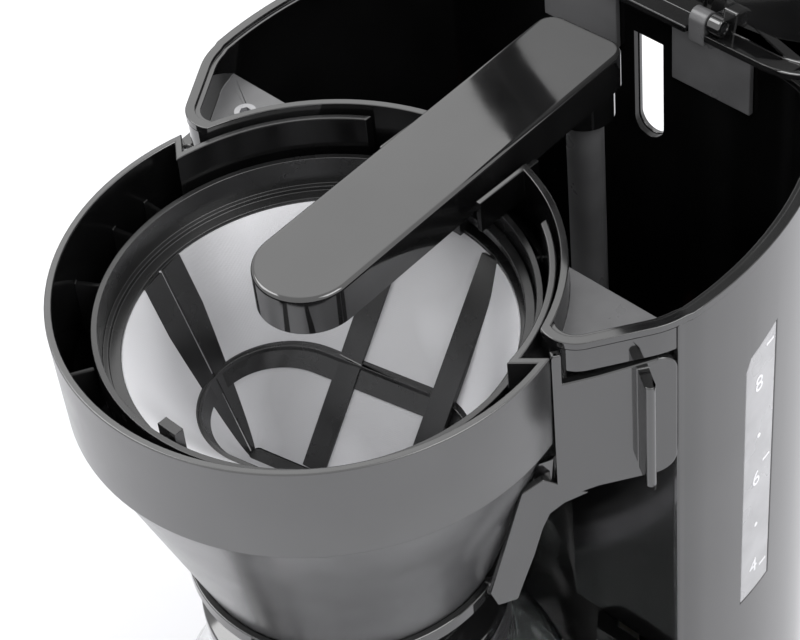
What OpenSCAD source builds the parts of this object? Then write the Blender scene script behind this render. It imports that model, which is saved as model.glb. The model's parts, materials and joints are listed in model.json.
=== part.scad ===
// Drip coffee maker: swing-out filter holder in front of a water tank, hotplate and glass jug below.
// Each part is drawn about the brewing axis (x = 0, y = 0) and set back onto the base by on_axis().

/* [Overall] */
// Height of the filter holder's rim above the table
rim_z = 300; // [298:1:304]
// Distance of the brewing axis in front of the origin
axis_back = 45.88; // [45.8:0.01:46]
// Widest half-width of the body
side_x = 94.6; // [94:0.1:95]
// Wall thickness of the moulded plastic parts
wall = 2.2; // [2:0.1:2.4]

/* [Filter holder] */
// Outer radius of the holder's front band
band_r = 75; // [74.5:0.1:75]
// Outer radius of the holder's inset rear half
rear_r = 68; // [67.5:0.1:68]
// Height of the band
band_h = 34; // [32:1:36]
// Outer radius of the bowl right under the band
cone_r = 73; // [72:0.5:73]
// Outer radius of the bowl at its floor
cone_floor_r = 47; // [46:0.5:48]
// Depth of the bowl below its rim
bowl_h = 114; // [113:1:115]

/* [Permanent filter] */
// Outer radius of the filter's rim ring
filter_r = 63.9; // [63:0.1:64]
// Radius of the mesh at its top edge
mesh_r = 57.3; // [57:0.1:58]
// Depth of the wedge-shaped mesh
mesh_h = 67.8; // [67:0.1:68]

/* [Tank] */
// Radius of the hollow in the tank's front that the holder sits in
arc_r = 69.2; // [69:0.1:69.6]
// Height of the tank's rim above the holder's rim
tank_lip = 3; // [3:0.5:3.5]
// Depth of the tank below its rim
tank_depth = 150; // [146:1:151]
// Half-width of the trough that the outlet arm lies in
trough_x = 18.2; // [18:0.1:18.6]

/* [Outlet arm] */
// Width of the outlet arm
arm_w = 30.5; // [30:0.1:30.6]
// Thickness of the outlet arm
arm_t = 13.2; // [13:0.1:13.4]
// Turn of the arm in its trough at rest
arm_turn = 2.7; // [2.5:0.1:2.8]
// Outer radius of the riser tube
riser_r = 5.9; // [5.8:0.05:6]

/* [Base and jug] */
// Height of the base's deck
deck_z = 44; // [43:1:44]
// Radius of the base's round front
base_r = 88; // [87:1:89]
// Radius of the hotplate
plate_r = 59; // [58:1:60]
// Largest radius of the jug
jug_r = 70; // [68:1:70]

/* [Lid] */
// Angle that the lid stands open at
lid_open = 104; // [100:1:104]
// Height of the lid
lid_h = 14; // [13:1:14]

/* [Hidden] */
$fn = 96;
brew_y = -axis_back;

// Body outline: front horns, front corners and back corners
horn = [70.2, 31.1];
horn_r = 10.4;
corner = [68.2, 54.5];
corner_r = 25;
back = [46, 107];
back_r = 43;
back_y = back.y + back_r;
bulge_r = 133;
bulge_y = 68;

tank_top = rim_z + tank_lip;
tank_z = tank_top - tank_depth;
shell_in = 0.3;
shell_wall = 1.8;
liner_gap = 2.4;
lip_w = 3;
bead_h = 2.4;
skirt_h = 11;
shelf_z = rim_z - 8;
shelf_y = 53;
front_wall_y = 48;
front_edge_y = 47.5;
slot_w = 11.6;
slot_z = rim_z - 48;
window_y = [75.5, 91];
window_top = rim_z - 31;
window_low = tank_z + 4;

riser_y = 115;
arm_top = rim_z + 7.4;
arm_low = arm_top - arm_t;
arm_tip_y = -3;
arm_end_y = 123;
arm_offset = -3.9;
boss_r = 9.5;

holder_z = rim_z - bowl_h;
cone_z = rim_z - band_h - 0.6;
// Line that parts the holder's wide front half from its inset rear half
zone_y0 = -42.8;
zone_slope = 0.827;
fin_angle = 14;
handle_at = [73.7, 18.2];
handle_turn = 55;
hinge = [-84, 26];
hinge_low = rim_z - 92;
hinge_top = rim_z - 24;

filter_z = rim_z - 12;
mesh_z = rim_z - 24.6;
filter_turn = 12;
bail_z = mesh_z + 5.5;
bail_r = filter_r - 5.4;
mesh_len = 35;
mid_depth = 40;
rib_w = 8.2;
rib_t = 1.8;
rim_w = 1.9;
end_rib_y = 4.5;
side_ribs = [[-6.6, -12.4], [28.6, 20.3]];

cover_z = 3;
shell_z = 5.6;
plate_z = deck_z + 1;
jug_z = plate_z + 0.1;
jug_top = jug_z + 118;

lid_z = tank_top + 0.8;
lid_pivot = [144.5, tank_top + 7.5];
gland_x = 32;
sump = [27, 94];
heater_z = plate_z - 15;
heater_r = 42;
valve_z = tank_z - 34;
lug_x = 22;
lug_t = 6;
pin_r = 1.5;
fit = 0.05;

// Unit normal of the straight edge that joins a small and a large circle on their right
function edge_normal(c1, r1, c2, r2) =
  let (d = c2 - c1, far = norm(d), u = d / far, k = (r1 - r2) / far)
  k * u + sqrt(1 - k * k) * [u.y, -u.x];
horn_n = edge_normal(horn, horn_r, corner, corner_r);
function mirrored(points) = [for (i = [len(points) - 1 : -1 : 0]) [-points[i].x, points[i].y]];
function arc_points(c, r, a0, a1, n) =
  [for (i = [0 : n]) let (a = a0 + (a1 - a0) * i / n) [c.x + r * cos(a), c.y + r * sin(a)]];

module on_axis() translate([0, brew_y, 0]) children();

module at(z) translate([0, 0, z]) children();

module ring(r_out, r_in, h) {
  difference() {
    cylinder(h = h, r = r_out);
    translate([0, 0, -1]) cylinder(h = h + 2, r = r_in);
  }
}

module both_sides() {
  children();
  mirror([1, 0, 0]) children();
}

// Closed outline of the body, set in by e
module body_outline(e) {
  half = [horn + horn_n * (horn_r - e), corner + horn_n * (corner_r - e),
          [side_x - e, corner.y], [side_x - e, back.y], [back.x, back_y - e]];
  intersection() {
    union() {
      both_sides() {
        translate(horn) circle(horn_r - e);
        translate(corner) circle(corner_r - e);
        translate(back) circle(back_r - e);
      }
      polygon(concat(half, mirrored(half)));
    }
    translate([side_x - bulge_r, bulge_y]) circle(bulge_r - e, $fn = 180);
    translate([bulge_r - side_x, bulge_y]) circle(bulge_r - e, $fn = 180);
  }
}

// The same with the hollow for the holder, whose wall is set in by f
module tank_plan(e, f) {
  difference() {
    body_outline(e);
    circle(arc_r + f);
  }
}

module base_plan(e) {
  circle(base_r - e);
  body_outline(e);
  polygon([[base_r - e, 0], [side_x - 2 - e, corner.y], [e + 2 - side_x, corner.y], [e - base_r, 0]]);
}

module behind(y) translate([-150, y]) square([300, 300]);

// Overflow slot in the back wall
module overflow_slot() {
  translate([0, 140, slot_z + slot_w / 2]) rotate([-90, 0, 0]) {
    cylinder(h = 30, r = slot_w / 2);
    translate([-slot_w / 2, -34, 0]) cube([slot_w, 34, 30]);
  }
}

// Prism along X with the level window's slanted outline, grown by g
module window_prism(g) {
  translate([80, 0, 0]) rotate([90, 0, 90]) linear_extrude(20)
    polygon([[window_y[0] - g, window_low - g], [window_y[1] + g, window_low - g],
             [window_y[1] + g, window_top + g], [window_y[0] + 2, window_top - 4 + g],
             [window_y[0] - g, window_top - 8]]);
}

module base_shell() color("#202022") on_axis() {
  difference() {
    at(shell_z) linear_extrude(deck_z - shell_z) base_plan(0);
    at(shell_z - 1) linear_extrude(deck_z - shell_z + 1 - wall) base_plan(wall + 0.3);
    at(deck_z - 5) cylinder(h = 10, r = plate_r + 3);
    // way up into the column
    at(deck_z - 5) linear_extrude(10) intersection() { body_outline(9); behind(83); }
    // opening for the switch
    translate([-13, -base_r - 5, 15]) cube([26, 14, 18]);
    translate([-15, -base_r - 5, 13.5]) cube([30, 6, 21]);
    // opening for the mains lead
    translate([gland_x, 130, 20]) rotate([-90, 0, 0]) cylinder(h = 30, r = 6);
    at(10) linear_extrude(2) for (i = [-3 : 3]) translate([i * 9 - 2, 140]) square([4, 20]);
  }
}

module base_cover() color("#2a2a2c") on_axis() {
  difference() {
    at(cover_z) linear_extrude(shell_z - cover_z) base_plan(0.8);
    for (p = foot_places()) translate([p.x, p.y, 0]) cylinder(h = 5, r = 9.2);
    for (p = screw_places()) translate([p.x, p.y, 0]) cylinder(h = 9, r = 1.7);
    for (i = [-4 : 4]) translate([i * 9 - 2, 84, 0]) cube([4, 34, 9]);
  }
}

function foot_places() = [[-58, -44], [58, -44], [-66, 118], [66, 118]];
function screw_places() = [[0, -72], [-76, 20], [76, 20], [-24, 136], [24, 136]];

module feet() color("#151515") on_axis() {
  for (p = foot_places()) translate([p.x, p.y, 0]) cylinder(h = 5, r = 9);
}

module base_screws() color("#b8bcc0") on_axis() {
  for (p = screw_places()) translate([p.x, p.y, 0]) difference() {
    union() {
      at(1.4) cylinder(h = cover_z - 1.4, r = 3.2);
      at(cover_z) cylinder(h = 9, r = 1.5);
    }
    at(1) linear_extrude(1.2) { square([4, 0.9], center = true); square([0.9, 4], center = true); }
  }
}

module housing() color("#1c1c1e") on_axis() {
  difference() {
    union() {
      at(deck_z) linear_extrude(tank_top - bead_h - deck_z) difference() {
        intersection() { body_outline(shell_in); behind(front_edge_y); }
        body_outline(shell_in + shell_wall);
      }
      hinge_ears();
    }
    translate([hinge.x, hinge.y, 0]) cylinder(h = 400, r = 2);
    overflow_slot();
    window_prism(0.15);
    for (k = [0 : 4]) translate([-30, 140, 60 + k * 7]) cube([60, 20, 3]);
  }
}

// Concave panel behind the jug, with a cheek on each side that closes the housing's front
module column_front() color("#19191b") on_axis() {
  at(deck_z) linear_extrude(tank_z - 0.4 - deck_z) difference() {
    union() {
      intersection() {
        circle(82.4);
        behind(42);
      }
      both_sides() polygon([[64, 42], [89.2, 44.4], [89.2, 46.8], [64, 46.8]]);
    }
    circle(80);
  }
  // ledge under the tank's horns
  at(tank_z - 8) linear_extrude(7.6) difference() {
    both_sides() polygon([[60, 42], [86, 42], [89.2, 45], [89.2, 46.8], [60, 60]]);
    circle(76);
    difference() { behind(46.7); circle(82.4); }
  }
}

// Ears on the housing's left front edge that hold the holder's hinge pin
module hinge_ears() {
  for (z = [hinge_low - 6, hinge_top + 0.4]) at(z) linear_extrude(5.6) difference() {
    union() {
      translate(hinge) circle(5.5);
      polygon([[hinge.x - 4.5, hinge.y], [hinge.x + 5, hinge.y - 2], [-79.2, 50], [-91.6, 56]]);
    }
    intersection() { tank_plan(liner_gap - 0.4, 0); behind(front_wall_y - 0.4); }
  }
}

module water_tank() color("#161618") on_axis() {
  difference() {
    union() {
      at(tank_z) linear_extrude(tank_depth) tank_plan(liner_gap, 0);
      at(tank_top - bead_h) linear_extrude(bead_h) tank_plan(0, 0);
      // skirt over the front horns
      at(tank_top - skirt_h) linear_extrude(skirt_h) difference() {
        tank_plan(0.3, 0);
        behind(front_edge_y - 0.5);
      }
      // trough walls
      both_sides() translate([trough_x, 48, shelf_z]) cube([1.6, 25, tank_top - shelf_z]);
      // sump and outlet nozzle
      translate([sump.x, sump.y, tank_z - 14]) cylinder(h = 15, r = 5);
    }
    difference() {
      at(tank_z + wall) linear_extrude(tank_depth) tank_plan(liner_gap + wall, wall);
      // shelves in the horns, and the straight front wall below them
      at(shelf_z - 1.6) linear_extrude(1.6) difference() { tank_plan(liner_gap, 0); behind(shelf_y); }
      at(tank_z) linear_extrude(shelf_z - tank_z) difference() { body_outline(0); behind(front_wall_y + wall); }
      both_sides() translate([trough_x, 60, shelf_z]) cube([1.6, 13, tank_top - shelf_z]);
    }
    at(tank_z - 1) linear_extrude(shelf_z - tank_z - 0.6) difference() {
      body_outline(-1);
      behind(front_wall_y);
    }
    // step inside the rim's lip
    at(tank_top - 1) linear_extrude(3) tank_plan(lip_w, wall);
    translate([-trough_x, 40, shelf_z]) cube([2 * trough_x, 37, 40]);
    translate([sump.x, sump.y, tank_z - 20]) cylinder(h = 40, r = 3);
    translate([0, riser_y, tank_z - 5]) cylinder(h = 20, r = riser_r + 1.6);
    translate([-71, 41, shelf_z - 5]) cylinder(h = 10, r = 1.6);
    overflow_slot();
    window_prism(0.15);
  }
}

module tank_shelf_screw() color("#8c8f92") on_axis() translate([-71, 41, shelf_z]) {
  difference() {
    union() {
      cylinder(h = 2.2, r = 3.4);
      translate([0, 0, -5]) cylinder(h = 5, r = 1.5);
    }
    translate([0, 0, 1]) cylinder(h = 3, r = 1.8, $fn = 6);
  }
}

module level_window() color("#e6eaea", 0.6) on_axis() {
  intersection() {
    window_prism(0);
    at(tank_z) linear_extrude(tank_depth) difference() {
      body_outline(0.4);
      body_outline(liner_gap + wall + 0.6);
    }
  }
}

module riser_tube() color("#6d6f72") on_axis() translate([0, riser_y, tank_z - 20]) {
  ring(riser_r, riser_r - 1.3, arm_top - 3.5 - tank_z + 20);
}

module riser_seal() color("#b04a3a") on_axis() translate([0, riser_y, tank_z - 3]) {
  ring(riser_r + 1.6, riser_r, 3 + wall);
  ring(riser_r + 4, riser_r, 2.6);
}

module tank_outlet_seal() color("#b04a3a") on_axis() translate([sump.x, sump.y, tank_z + wall]) {
  ring(6, 3, 1.4);
}

// Places children in the outlet arm's own frame: turned in its trough about the riser
module arm_place() {
  translate([0, riser_y, 0]) rotate(arm_turn) translate([0, -riser_y, 0]) children();
}

module arm_plan(e) {
  translate([arm_offset, 0]) {
    translate([0, arm_tip_y]) circle(arm_w / 2 - e);
    translate([e - arm_w / 2, arm_tip_y]) square([arm_w - 2 * e, arm_end_y - 6 - arm_tip_y]);
    translate([e + 6 - arm_w / 2, arm_tip_y]) square([arm_w - 12 - 2 * e, arm_end_y - e - arm_tip_y]);
    for (s = [-1, 1]) translate([s * (arm_w / 2 - 6), arm_end_y - 6]) circle(6 - e);
  }
}

module outlet_arm() color("#111113") on_axis() arm_place() {
  difference() {
    union() {
      at(arm_low) linear_extrude(arm_t) arm_plan(0);
      translate([0, riser_y, arm_low - 20]) cylinder(h = 21, r = boss_r);
    }
    at(arm_low - 1) linear_extrude(arm_t - 1) difference() {
      arm_plan(2);
      translate([0, riser_y]) circle(boss_r);
    }
    translate([0, riser_y, arm_low - 30]) cylinder(h = 27 + arm_t, r = riser_r + fit);
    // way out of the socket into the arm
    translate([-3, 96, arm_low + 2]) cube([6, 18, arm_t - 5]);
  }
}

module arm_tray() color("#101012") on_axis() arm_place() {
  difference() {
    at(arm_low) linear_extrude(1.8) arm_plan(2);
    translate([0, riser_y, arm_low - 1]) cylinder(h = 10, r = boss_r);
    for (a = [0 : 60 : 300]) translate([arm_offset + 6 * cos(a), arm_tip_y + 6 * sin(a), 0])
      cylinder(h = 400, r = 1.2);
  }
}

module hotplate() color("#3a3a3c") on_axis() at(plate_z - 1.2) cylinder(h = 1.2, r = plate_r);

module hotplate_seal() color("#1a1a1a") on_axis() {
  at(deck_z - 4) ring(plate_r + 3, plate_r, 4.6);
  at(deck_z) ring(plate_r + 5, plate_r + 2.9, 0.6);
}

module heater_block() color("#b9bcc0") on_axis() translate([0, 0, plate_z - 9.2]) {
  rotate(105) rotate_extrude(angle = 330) translate([36, 0]) {
    square([12, 8]);
  }
}

module heater_tube() color("#c9ccd0") on_axis() translate([0, 0, heater_z]) {
  difference() {
    union() {
      rotate(90) rotate_extrude(angle = 320) translate([heater_r, 0]) circle(5, $fn = 24);
      for (p = tube_ends()) translate([p.x, p.y, 0]) rotate([-90, 0, 0]) cylinder(h = 34, r = 5, $fn = 24);
    }
    for (p = tube_ends()) translate([p.x, p.y + 2, 0]) rotate([-90, 0, 0])
      cylinder(h = 40, r = 3.6, $fn = 24);
  }
}

function tube_ends() = [for (a = [90, 50]) [heater_r * cos(a), heater_r * sin(a)]];

module heater_bracket() color("#9a9da1") on_axis() {
  translate([-56, -6, plate_z - 22]) cube([112, 12, 1.6]);
  for (s = [-1, 1]) translate([s * 54.5 - 1.5, -6, plate_z - 22]) cube([3, 12, 20.6]);
}

module thermostat() color("#4b4038") on_axis() translate([0, 0, plate_z - 20.2]) {
  cylinder(h = 6, r = 8);
  at(6) cylinder(h = 2, r = 6);
  both_sides() translate([8, -2, 2]) cube([6, 4, 1]);
}

module thermal_fuses() color("#e8e4da") on_axis() {
  for (y = [-24, 24]) translate([-14, y, plate_z - 12]) rotate([0, 90, 0]) cylinder(h = 28, r = 2.6);
}

// Quarter bend of a hose: centre line radius br, hose radius r
module bend(br, r) rotate_extrude(angle = 90) translate([br, 0]) circle(r, $fn = 32);

// Hose from the heater's end p back to y_up and then up to z_top
module hose(p, y_up, z_top) {
  translate([p.x, p.y + 26, heater_z]) rotate([-90, 0, 0]) ring(7, 5, y_up - 12 - p.y - 26);
  translate([p.x, y_up - 12, heater_z + 12]) rotate([0, 90, 0]) difference() {
    bend(12, 7);
    bend(12, 5);
  }
  translate([p.x, y_up, heater_z + 12]) ring(7, 5, z_top - heater_z - 12);
}

module inlet_hose() color("#d8d2c4") on_axis() hose(tube_ends()[1], sump.y, valve_z + 8);

module riser_hose() color("#d8d2c4") on_axis() hose(tube_ends()[0], riser_y, tank_z - 21);

module check_valve() color("#f0efe8") on_axis() translate([sump.x, sump.y, valve_z]) {
  ring(5, 3, 10);
  at(9) ring(8, 3, 11);
  at(19.9) ring(8, 5, 6);
}

module hose_clips() color("#c2c5c8") on_axis() {
  for (p = tube_ends()) translate([p.x, p.y + 28, heater_z]) rotate([-90, 0, 0]) ring(8, 7, 4);
  translate([sump.x, sump.y, valve_z + 2]) ring(8, 7, 4);
  translate([0, riser_y, tank_z - 27]) ring(8, 7, 4);
}

module switch_frame() color("#0f0f10") on_axis() {
  difference() {
    union() {
      translate([-15, -base_r - 2, 13.5]) cube([30, 3, 21]);
      translate([-12.8, -base_r + 1, 15.2]) cube([25.6, 11, 17.6]);
    }
    translate([-10.5, -base_r - 3, 17]) cube([21, 13, 14]);
    translate([-11.6, -base_r + 3, 24]) rotate([0, 90, 0]) cylinder(h = 23.2, r = 1.2 + fit);
  }
}

module rocker_switch() color("#7a1512") on_axis() translate([0, -base_r + 3, 24]) rotate([8, 0, 0]) {
  difference() {
    translate([-10, -6, -6.2]) cube([20, 8, 12.4]);
    translate([-11, -12, 0]) rotate([0, 90, 0]) cylinder(h = 22, r = 6.6);
  }
  translate([-11.4, 0, 0]) rotate([0, 90, 0]) cylinder(h = 22.8, r = 1.2);
}

module terminal_block() color("#e9e6dc") on_axis() translate([46, 92, shell_z]) {
  difference() {
    cube([24, 12, 12]);
    for (i = [0 : 2]) translate([4 + i * 8, 6, 6]) cylinder(h = 10, r = 2);
  }
}

module cord_gland() color("#141414") on_axis() translate([gland_x, back_y - 11, 20]) rotate([-90, 0, 0]) {
  difference() {
    union() {
      cylinder(h = 13, r = 5.9);
      cylinder(h = 8, r = 8);
      at(11.05) cylinder(h = 2.4, r = 8);
    }
    translate([0, 0, -1]) cylinder(h = 20, r = 3.4);
  }
}

// Lid outline: the body's outline with the holder's round front, set in by e
module lid_plan(e) {
  body_outline(e);
  circle(band_r + 2 - e);
  polygon([[band_r - e, 0], [horn.x + 8 - e, horn.y], [e - 8 - horn.x, horn.y], [e - band_r, 0]]);
}

// Turns children from the closed lid's place to the open one
module lid_place() {
  translate([0, lid_pivot[0], lid_pivot[1]]) rotate([-lid_open, 0, 0])
    translate([0, -lid_pivot[0], -lid_pivot[1]]) children();
}

module lid_shell() color("#17171a") on_axis() lid_place() {
  difference() {
    union() {
      at(lid_z) linear_extrude(lid_h - 2) lid_plan(0);
      at(lid_z + lid_h - 2) linear_extrude(2) lid_plan(2.5);
    }
    difference() {
      at(lid_z - 1) linear_extrude(lid_h - wall + 1) lid_plan(2.2);
      // knuckles that the hinge pins pass through
      both_sides() translate([lug_x + lug_t / 2 + 0.4, 0, 0]) {
        translate([0, lid_pivot[0], lid_pivot[1]]) rotate([0, 90, 0]) cylinder(h = 5, r = 3.2);
        translate([0, lid_pivot[0] - 3.2, lid_pivot[1]]) cube([5, 6.4, 10]);
      }
    }
    translate([-60, lid_pivot[0], lid_pivot[1]]) rotate([0, 90, 0]) cylinder(h = 120, r = pin_r + fit);
    // low rear wall, so that the lid can turn back over the tank's rim
    translate([-100, lid_pivot[0], lid_z - 1]) cube([200, 8, lid_pivot[1] - 3.2 - lid_z + 1]);
    // room for the tank's hinge lugs
    both_sides() translate([lug_x - lug_t / 2 - 0.4, lid_pivot[0] - 6, lid_z - 2])
      cube([lug_t + 0.8, 12, lid_pivot[1] - lid_z + 7.6]);
  }
}

module lid_hinge_lugs() color("#1b1b1d") on_axis() {
  both_sides() difference() {
    union() {
      translate([lug_x - lug_t / 2, lid_pivot[0], lid_pivot[1]]) rotate([0, 90, 0])
        cylinder(h = lug_t, r = 3.2);
      translate([lug_x - lug_t / 2, lid_pivot[0] - 3.2, tank_top]) cube([lug_t, 6.4, lid_pivot[1] - tank_top]);
      translate([11, 143.3, rim_z - 17]) cube([30, 2, 20]);
      translate([11, 143.3, tank_top]) cube([30, 4.4, 0.7]);
    }
    translate([0, lid_pivot[0], lid_pivot[1]]) rotate([0, 90, 0]) cylinder(h = 60, r = pin_r);
  }
}

module lid_hinge_pins() color("#c4c7ca") on_axis() {
  both_sides() translate([lug_x - lug_t / 2, lid_pivot[0], lid_pivot[1]]) rotate([0, 90, 0])
    cylinder(h = 11, r = pin_r);
}

// Side view of the handle plate: x along the plate, y is height relative to the rim
module handle_side() {
  translate([28.8, -13.6]) circle(5, $fn = 48);
  translate([26.8, -47.6]) circle(7, $fn = 48);
  polygon([[-1, 0], [1.7, 0], [1.7, -11.2], [12, -10.6], [28.6, -8.6], [33.8, -13.6], [33.8, -47.6],
           [26.8, -54.6], [11, -55.2], [3, -57], [-1, -60]]);
}

// Fin that follows the bowl down from the handle plate, drawn in its radial plane
module fin_side() {
  polygon([[74.5, -40], [72.5, -60], [70.1, -67.5], [65, -86], [60.5, -104], [54, -112], [46, -112], [46, -108],
           [51.5, -104], [60, -77], [64.5, -58], [69, -45]]);
}

module swing_frame() color("#1d1d20") on_axis() {
  difference() {
    union() {
      translate([handle_at.x, handle_at.y, rim_z]) rotate(handle_turn) rotate([90, 0, 0])
        translate([0, 0, -2.5]) linear_extrude(2.5) handle_side();
      // finger rib
      translate([handle_at.x, handle_at.y, rim_z]) rotate(handle_turn) translate([22.6, -6.5, -51])
        linear_extrude(40) union() { square([3.2, 8]); translate([1.6, 0]) circle(1.6, $fn = 32); }
      // fins on both sides, joined under the bowl by a ring
      both_sides() rotate(fin_angle) translate([0, 1.3, rim_z]) rotate([90, 0, 0])
        linear_extrude(2.6) fin_side();
      at(holder_z + 1) ring(50.5, 46, 5);
      // arm and barrel of the hinge
      translate([hinge.x, hinge.y, hinge_low]) cylinder(h = hinge_top - hinge_low, r = 5);
      translate([0, 0, rim_z - 60]) linear_extrude(32) polygon([[hinge.x, hinge.y + 3],
        [hinge.x - 1, hinge.y - 4], [-75, 13.5], [-70.6, 17.2]]);
    }
    translate([hinge.x, hinge.y, 0]) cylinder(h = 400, r = 2 + fit);
    holder_solid(0.15);
  }
}

module hinge_pin() color("#c4c7ca") on_axis() translate([hinge.x, hinge.y, hinge_low - 5]) {
  cylinder(h = hinge_top - hinge_low + 10, r = 2);
}

module rear_zone(shift) {
  polygon([[0, zone_y0 + shift], [120, zone_y0 + 120 * zone_slope + shift], [120, 150], [-120, 150],
           [-120, zone_y0 + 120 * zone_slope + shift]]);
}

// Outside of the bowl, grown by g
module holder_solid(g) {
  difference() {
    rotate_extrude() polygon([[0, holder_z - g], [cone_floor_r - 4, holder_z - g],
      [cone_floor_r + g, holder_z + 3], [cone_r + g, cone_z], [band_r - 0.4 + g, cone_z + 0.6],
      [band_r + g, rim_z + g], [0, rim_z + g]]);
    at(0) linear_extrude(400) difference() { rear_zone(-g); circle(rear_r + g); }
  }
}

module holder_hollow() {
  difference() {
    rotate_extrude() polygon([[0, holder_z + wall], [cone_floor_r - 5, holder_z + wall],
      [cone_floor_r - wall, holder_z + 5], [cone_r - wall, cone_z], [band_r - wall, cone_z + 2],
      [band_r - wall, rim_z + 1], [0, rim_z + 1]]);
    at(0) linear_extrude(400) difference() { rear_zone(-2.8); circle(rear_r - wall); }
  }
}

module filter_holder() color("#1e1e21") on_axis() {
  difference() {
    union() {
      difference() {
        holder_solid(0);
        holder_hollow();
      }
      // ribs that the filter's rim rests on
      difference() {
        intersection() {
          holder_solid(-0.5);
          for (a = [-169, -150, -120, -90, -60, -30, 0, 60, 120, 180]) rotate(a)
            translate([60, -0.8, rim_z - 60]) cube([20, 1.6, 45.4]);
        }
        at(mesh_z - 1) cylinder(h = 40, r = filter_r + 0.3);
      }
      // outlet collar
      at(holder_z - 3) cylinder(h = 4, r = 13);
    }
    // low rear rim that lets the outlet arm pass
    translate([-34, 45, rim_z - 16]) cube([70, 40, 20]);
    at(holder_z - 6) cylinder(h = 20, r = 6);
  }
}

module drip_valve() color("#2c2c2e") on_axis() {
  at(holder_z - 9) cylinder(h = 14, r = 2.4);
  at(holder_z - 9) cylinder(h = 2, r = 4.5);
  at(holder_z + 5) cylinder(h = 2, r = 7.4);
}

module drip_seal() color("#b04a3a") on_axis() at(holder_z + wall) ring(8.4, 4.4, 2.4);

// Rings stand in for the turns of the closing spring
module drip_spring() color("#c4c7ca") on_axis() {
  for (k = [0 : 4]) at(holder_z + 7.6 + k * 2) rotate_extrude() translate([4.6, 0]) circle(0.45, $fn = 16);
}

module drip_cage() color("#232325") on_axis() at(holder_z + wall) {
  difference() {
    cylinder(h = 16, r = 11.5);
    at(-1) cylinder(h = 15.2, r = 9.6);
    for (a = [0 : 60 : 300]) rotate(a) translate([6, -3, 3]) cube([8, 6, 9]);
  }
}

// Half-length and half-width of the wedge-shaped filter at depth d below the mesh's top edge
function wedge_len(d) = mesh_r + (mesh_len - mesh_r) * d / mesh_h;
function wedge_wide(d) = mesh_r + (3 - mesh_r) * d / mesh_h;

// Stadium plan of the wedge at depth d, set out by g
module wedge_plan(d, g) {
  straight = wedge_len(d) - wedge_wide(d);
  for (s = [-1, 1]) translate([s * straight, 0]) circle(wedge_wide(d) + g, $fn = 48);
  square([2 * straight, 2 * wedge_wide(d) + 2 * g], center = true);
}

module wedge(g, d0, d1) hull() for (d = [d0, d1]) at(mesh_z - d - 0.005) linear_extrude(0.01) wedge_plan(d, g);

// Straight bar from a to b, w wide and t thick
module bar(a, b, w, t) {
  d = b - a;
  translate(a) rotate([0, acos(d.z / norm(d)), atan2(d.y, d.x)]) translate([-t, -w / 2, 0])
    cube([t, w, norm(d)]);
}

// Straight rib on the wedge's long sides, from [x at the top edge] to [x at the bottom]
module side_rib(top_x, low_x) bar([top_x, sqrt(mesh_r * mesh_r - top_x * top_x) + 0.6, mesh_z],
  [low_x, 3.6, mesh_z - mesh_h], rib_w, rib_t);

module filter_frame() color("#26272a") on_axis() {
  at(mesh_z - 0.6) ring(filter_r, filter_r - rim_w, filter_z - mesh_z + 0.6);
  at(mesh_z - 0.6) ring(filter_r, mesh_r - 0.3, 2);
  // ledge round the rim's foot
  at(mesh_z - 0.6) ring(filter_r - rim_w + 0.5, filter_r - rim_w - 1.6, 3.4);
  // lugs that the bail turns in
  difference() {
    for (s = [-1, 1]) translate([-3.5, s * (bail_r - 2) - 1.6, mesh_z + 0.6]) cube([7, 3.2, 8.6]);
    translate([0, -80, bail_z]) rotate([-90, 0, 0]) cylinder(h = 160, r = 1.2 + fit);
  }
  rotate(filter_turn) {
    for (s = [0, 1]) mirror([0, s, 0]) for (r = side_ribs) side_rib(r[0], r[1]);
    // double ribs down both ends, and the spine along the bottom
    for (s = [-1, 1], y = [-end_rib_y, end_rib_y])
      bar([s * (mesh_r + 0.2), y, mesh_z], [s * (mesh_len + 0.4), y, mesh_z - mesh_h], rib_w, rib_t);
    at(mesh_z - mid_depth - 4.2) linear_extrude(6.2) difference() {
      wedge_plan(mid_depth, 1);
      wedge_plan(mid_depth, -1.2);
    }
    translate([-mesh_len - 1, -5.5, mesh_z - mesh_h - 2]) cube([2 * mesh_len + 2, 11, 2.4]);
  }
}

module filter_mesh() color("#d9d9d6") on_axis() rotate(filter_turn) {
  difference() {
    wedge(0.4, 0, mesh_h);
    at(0.3) wedge(-0.4, -1, mesh_h);
  }
}

module filter_bail() color("#26272a") on_axis() translate([0, 0, bail_z]) {
  rotate(-90) rotate_extrude(angle = 180) translate([bail_r, -1.5]) square([3, 3]);
  for (s = [-1, 1]) translate([0, s * (bail_r + 1), 0]) rotate([s * 90, 0, 0]) cylinder(h = 4.2, r = 1.2);
}

module jug_glass() color("#cfd8da", 0.35) on_axis() {
  difference() {
    rotate_extrude($fn = 120) polygon(jug_profile(0));
    rotate_extrude($fn = 120) polygon(jug_profile(2.2));
    at(jug_top - 0.001) cylinder(h = 5, r = 80);
  }
}

// Half outline of the jug, set in by e
function jug_profile(e) = concat(
  [[0, jug_z + e]],
  arc_points([52, jug_z + 10], 10 - e, -90, -30, 4),
  arc_points([jug_r - 48, jug_z + 42], 48 - e, -28, 34, 12),
  arc_points([47 + 30, jug_top - 18], 30 + e, 205, 180, 5),
  [[47 - e, jug_top + e], [0, jug_top + e]]);

module jug_band() color("#bfc2c5") on_axis() at(jug_top - 14) ring(48.4, 47.1, 12);

module jug_handle() color("#17171a") on_axis() {
  difference() {
    union() {
      translate([-9, -112, jug_z + 16]) cube([18, 12, jug_top - 2 - jug_z - 16]);
      translate([-9, -106, jug_top - 16]) cube([18, 58, 12]);
      translate([-7, -106, jug_z + 16]) cube([14, 42, 10]);
    }
    cylinder(h = 400, r = 48.5);
    rotate_extrude($fn = 120) polygon(jug_profile(-0.3));
  }
}

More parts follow.
